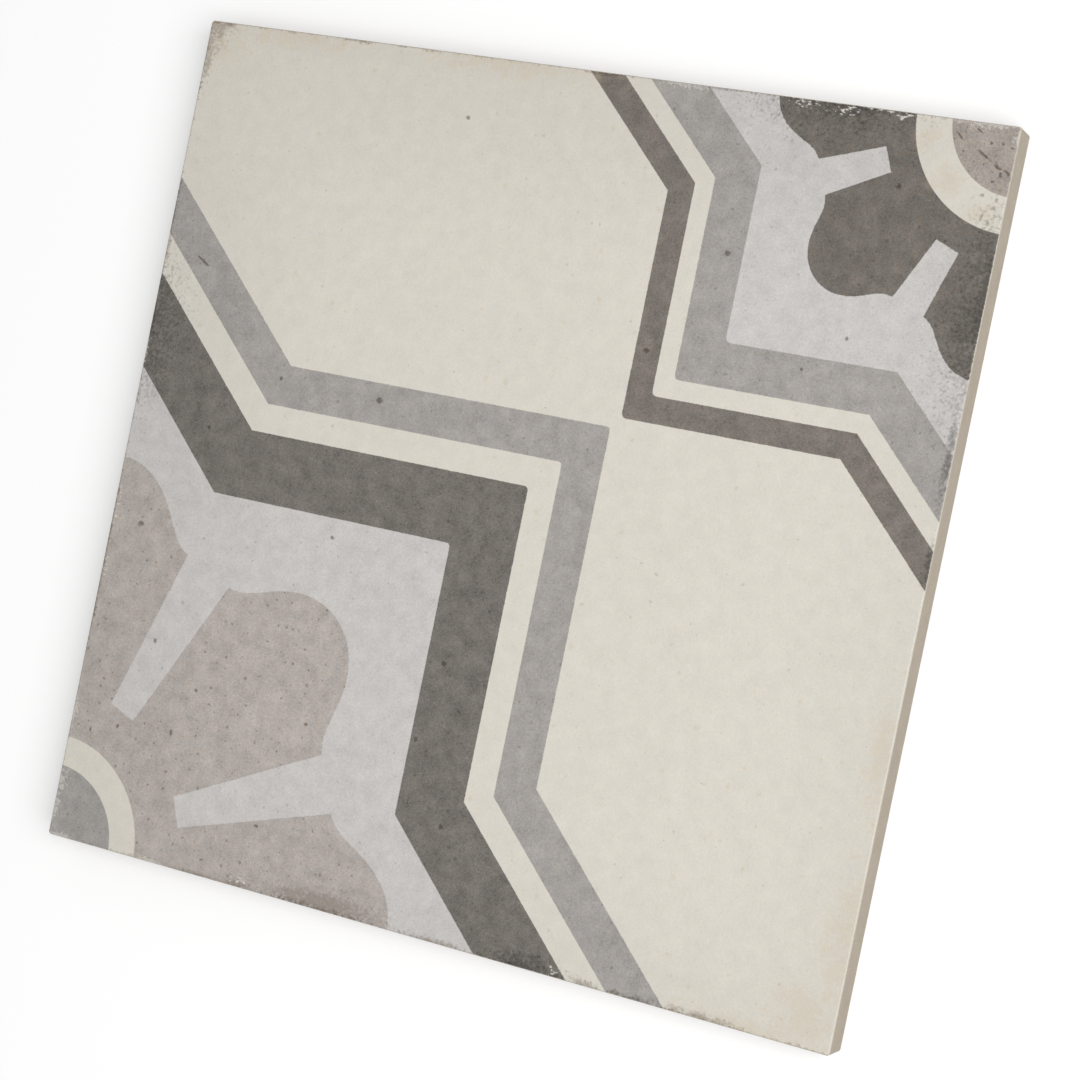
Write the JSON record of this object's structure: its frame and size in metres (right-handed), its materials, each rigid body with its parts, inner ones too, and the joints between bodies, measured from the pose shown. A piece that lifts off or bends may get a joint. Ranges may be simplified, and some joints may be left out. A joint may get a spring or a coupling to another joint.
{
  "type": "art nouveau tile",
  "caption": "Square matt-glazed porcelain tile for floors and walls, with a printed rosette and band pattern, a plain fired side and a ribbed keying relief on its back.",
  "frame": {"origin": "centre of the tile's back, on the plane of the ribs that the tile rests on", "axes": "+Z out of the glazed face, +X and +Y along the edges; the large motif's corner is at -X -Y and the small motif's corner at +X +Y"},
  "size_m": [0.2, 0.2, 0.0085],
  "materials": {
    "glazed_porcelain": "matt printed glaze on the face, unglazed fired clay on the sides and back"
  },
  "bodies": {
    "root": {"tile": "glazed_porcelain"}
  },
  "joints": []
}
